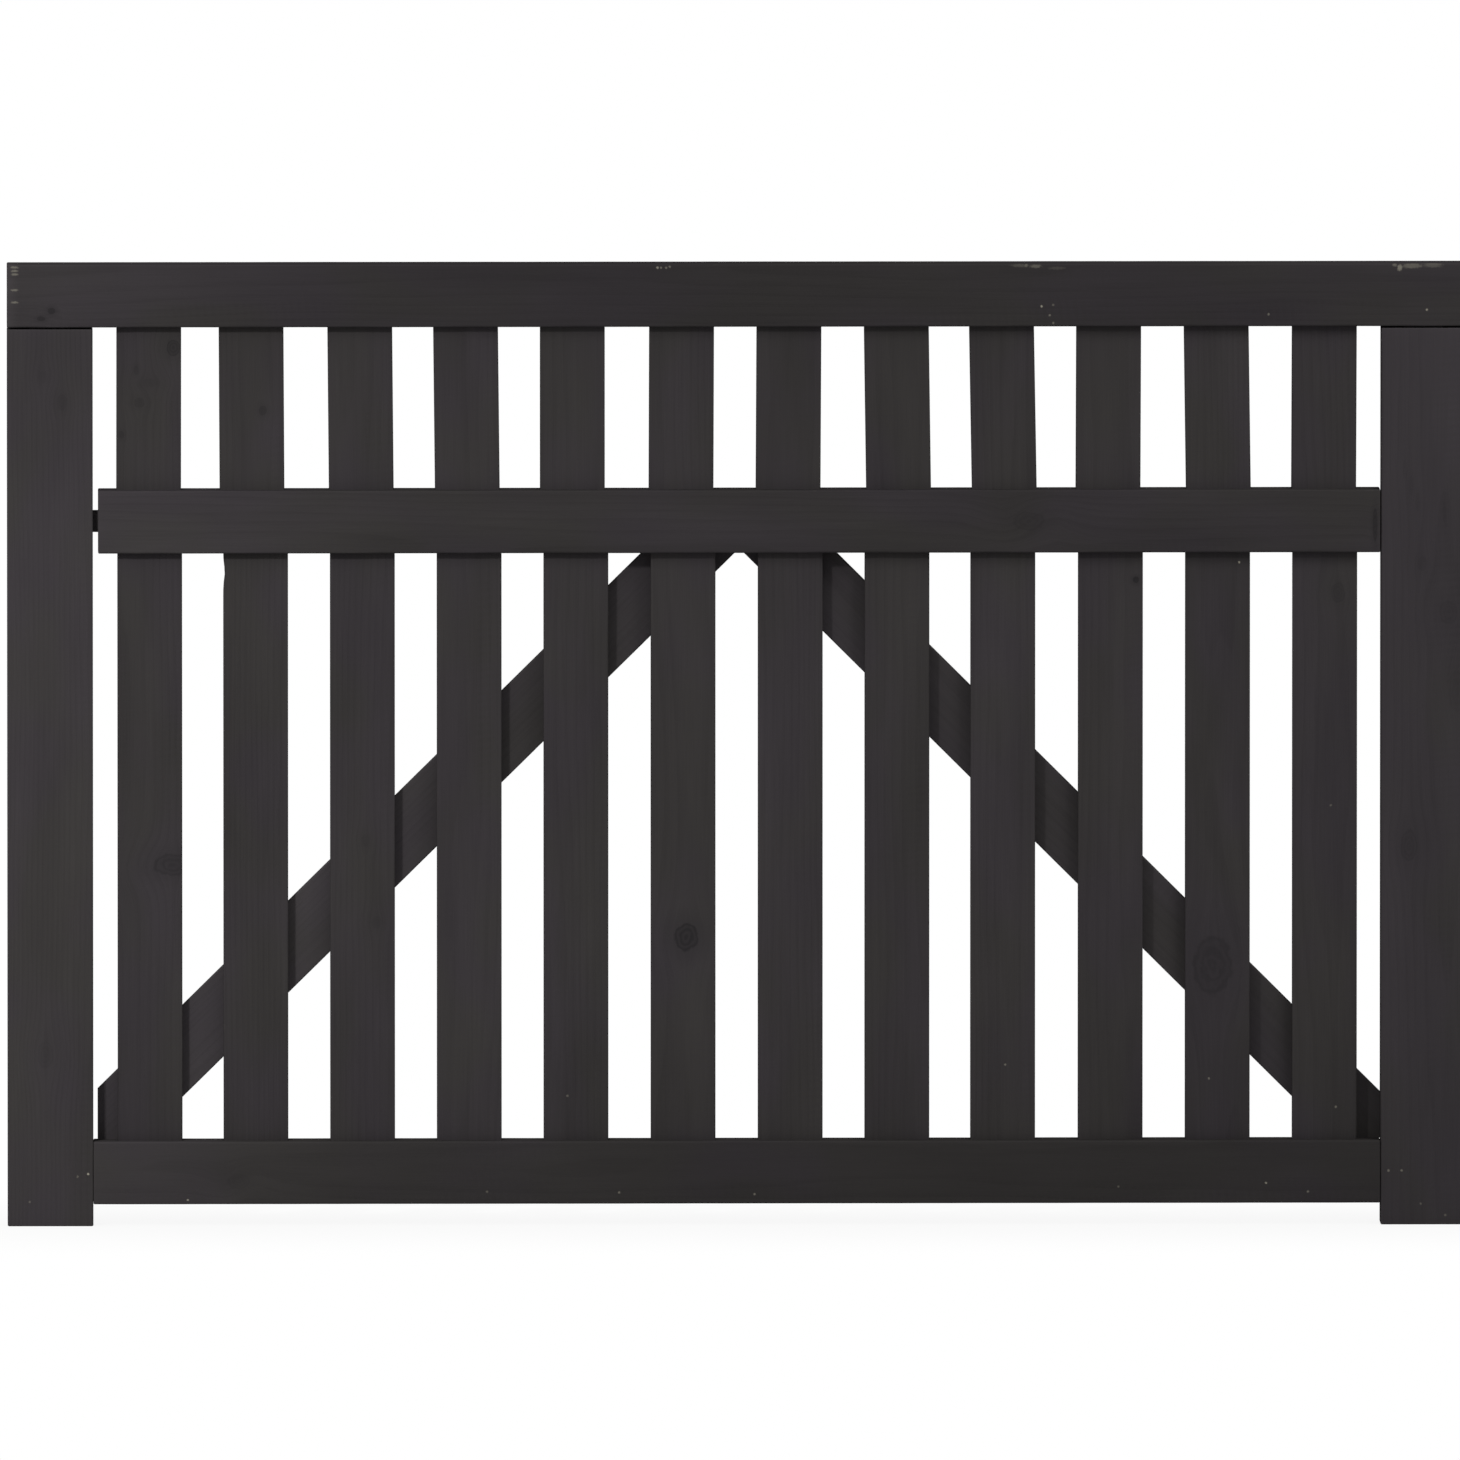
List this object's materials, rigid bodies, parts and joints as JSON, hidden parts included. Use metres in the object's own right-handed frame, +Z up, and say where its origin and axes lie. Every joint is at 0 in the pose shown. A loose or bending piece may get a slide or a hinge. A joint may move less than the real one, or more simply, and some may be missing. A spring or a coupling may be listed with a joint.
{
  "type": "garden fence panel",
  "caption": "Framed garden fence panel of dark painted timber, with posts, rails, spaced upright slats in an upper and a lower row, and diagonal braces behind.",
  "frame": {"origin": "centre of the left post's foot", "axes": "+X along the panel towards the right post, +Y from the front face to the back, +Z up"},
  "size_m": [1.668, 0.045, 1.102],
  "materials": {
    "painted_timber": "matt charcoal paint over planed softwood, grain showing through, chipped in places"
  },
  "bodies": {
    "root": {"left_post": "painted_timber", "right_post": "painted_timber", "top_rail": "painted_timber", "mid_rail": "painted_timber", "bottom_rail": "painted_timber", "upper_slat_01": "painted_timber", "upper_slat_02": "painted_timber", "upper_slat_03": "painted_timber", "upper_slat_04": "painted_timber", "upper_slat_05": "painted_timber", "upper_slat_06": "painted_timber", "upper_slat_07": "painted_timber", "upper_slat_08": "painted_timber", "upper_slat_09": "painted_timber", "upper_slat_10": "painted_timber", "upper_slat_11": "painted_timber", "upper_slat_12": "painted_timber", "lower_slat_01": "painted_timber", "lower_slat_02": "painted_timber", "lower_slat_03": "painted_timber", "lower_slat_04": "painted_timber", "lower_slat_05": "painted_timber", "lower_slat_06": "painted_timber", "lower_slat_07": "painted_timber", "lower_slat_08": "painted_timber", "lower_slat_09": "painted_timber", "lower_slat_10": "painted_timber", "lower_slat_11": "painted_timber", "lower_slat_12": "painted_timber", "left_brace": "painted_timber", "right_brace": "painted_timber"}
  },
  "joints": []
}
